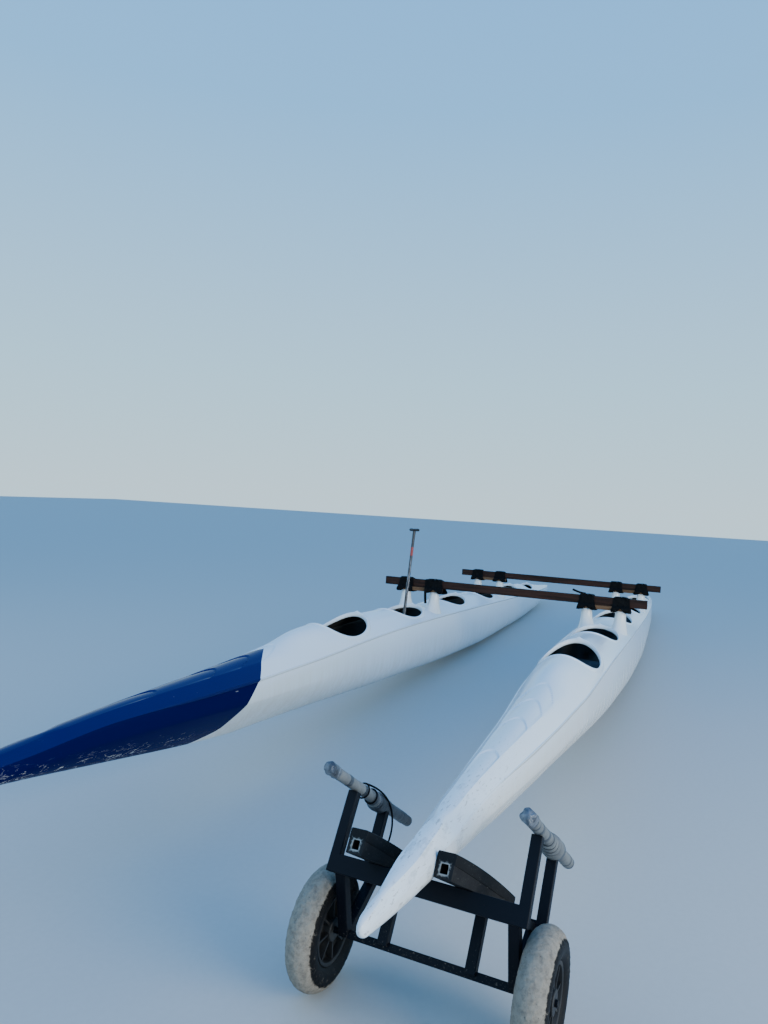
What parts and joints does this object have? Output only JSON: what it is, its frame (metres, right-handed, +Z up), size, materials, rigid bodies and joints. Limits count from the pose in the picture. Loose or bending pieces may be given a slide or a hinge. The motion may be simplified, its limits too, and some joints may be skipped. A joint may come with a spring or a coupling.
{
  "type": "double outrigger canoe",
  "caption": "Double racing outrigger canoe: twin decked hulls with cockpits in line under lashed timber beams, one bow parked on a wheeled beach cart, a paddle standing in a cockpit.",
  "frame": {"origin": "middle of the whole part's bounding box, on the ground under it", "axes": "+X towards the bows, +Y to port, +Z up; the canoe lies bows up by 2.4 degrees, as the cart holds it"},
  "size_m": [13.4184, 2.8049, 1.5854],
  "materials": {
    "starboard_gelcoat": "white gelcoat with a royal blue bow",
    "port_gelcoat": "white gelcoat, scuffed low down",
    "post_gelcoat": "white moulded laminate",
    "seat": "dark grey moulded laminate",
    "board": "light brown timber",
    "beam_timber": "dark brown stained timber",
    "rubber": "black rubber",
    "foam": "grey-white foam sleeve with grey tape",
    "tyre": "balloon tyre, sand-coloured",
    "rim": "black moulded rim",
    "cart_paint": "blue-black paint on square tube",
    "paddle": "carbon laminate"
  },
  "bodies": {
    "root": {"starboard_hull_shell_bow": "starboard_gelcoat", "starboard_hull_shell_mid": "starboard_gelcoat", "starboard_hull_shell_stern": "starboard_gelcoat", "starboard_hull_deck_bow": "starboard_gelcoat", "starboard_hull_deck_fore": "starboard_gelcoat", "starboard_hull_deck_aft": "starboard_gelcoat", "starboard_hull_deck_stern": "starboard_gelcoat", "port_hull_shell_bow": "port_gelcoat", "port_hull_shell_mid": "port_gelcoat", "port_hull_shell_stern": "port_gelcoat", "port_hull_deck_bow": "port_gelcoat", "port_hull_deck_fore": "port_gelcoat", "port_hull_deck_aft": "port_gelcoat", "port_hull_deck_stern": "port_gelcoat", "starboard_seat_1": "seat", "starboard_seat_2": "seat", "starboard_seat_3": "seat", "starboard_seat_4": "seat", "starboard_seat_5": "seat", "starboard_seat_6": "seat", "port_seat_1": "seat", "port_seat_2": "seat", "port_seat_3": "seat", "port_seat_4": "seat", "port_seat_5": "seat", "port_seat_6": "seat", "starboard_fore_right_post": "post_gelcoat", "starboard_fore_left_post": "post_gelcoat", "starboard_aft_right_post": "post_gelcoat", "starboard_aft_left_post": "post_gelcoat", "port_fore_right_post": "post_gelcoat", "port_fore_left_post": "post_gelcoat", "port_aft_right_post": "post_gelcoat", "port_aft_left_post": "post_gelcoat", "starboard_fore_packer": "board", "starboard_aft_packer": "board", "port_fore_packer": "board", "port_aft_packer": "board", "starboard_fore_right_lashing": "rubber", "starboard_fore_left_lashing": "rubber", "starboard_aft_right_lashing": "rubber", "starboard_aft_left_lashing": "rubber", "port_fore_right_lashing": "rubber", "port_fore_left_lashing": "rubber", "port_aft_right_lashing": "rubber", "port_aft_left_lashing": "rubber", "fore_beam": "beam_timber", "aft_beam": "beam_timber", "paddle_blade": "paddle", "paddle_shaft": "paddle", "cart_frame": "cart_paint", "cart_right_rail": "foam", "cart_left_rail": "foam", "cart_right_bunk": "rubber", "cart_left_bunk": "rubber", "cart_cord": "rubber"},
    "cart_left_wheel": {"cart_left_tyre": "tyre", "cart_left_rim": "rim"},
    "cart_right_wheel": {"cart_right_tyre": "tyre", "cart_right_rim": "rim"}
  },
  "joints": [
    {"name": "cart_left_wheel_spin", "type": "hinge", "parent": "root", "child": "cart_left_wheel", "pos_m": [6.0706, 1.33196, 0.2306], "axis": [0.0506, 0.9987, 0], "continuous": true},
    {"name": "cart_right_wheel_spin", "type": "hinge", "parent": "root", "child": "cart_right_wheel", "pos_m": [6.028, 0.49104, 0.2306], "axis": [0.0506, 0.9987, 0], "continuous": true}
  ]
}
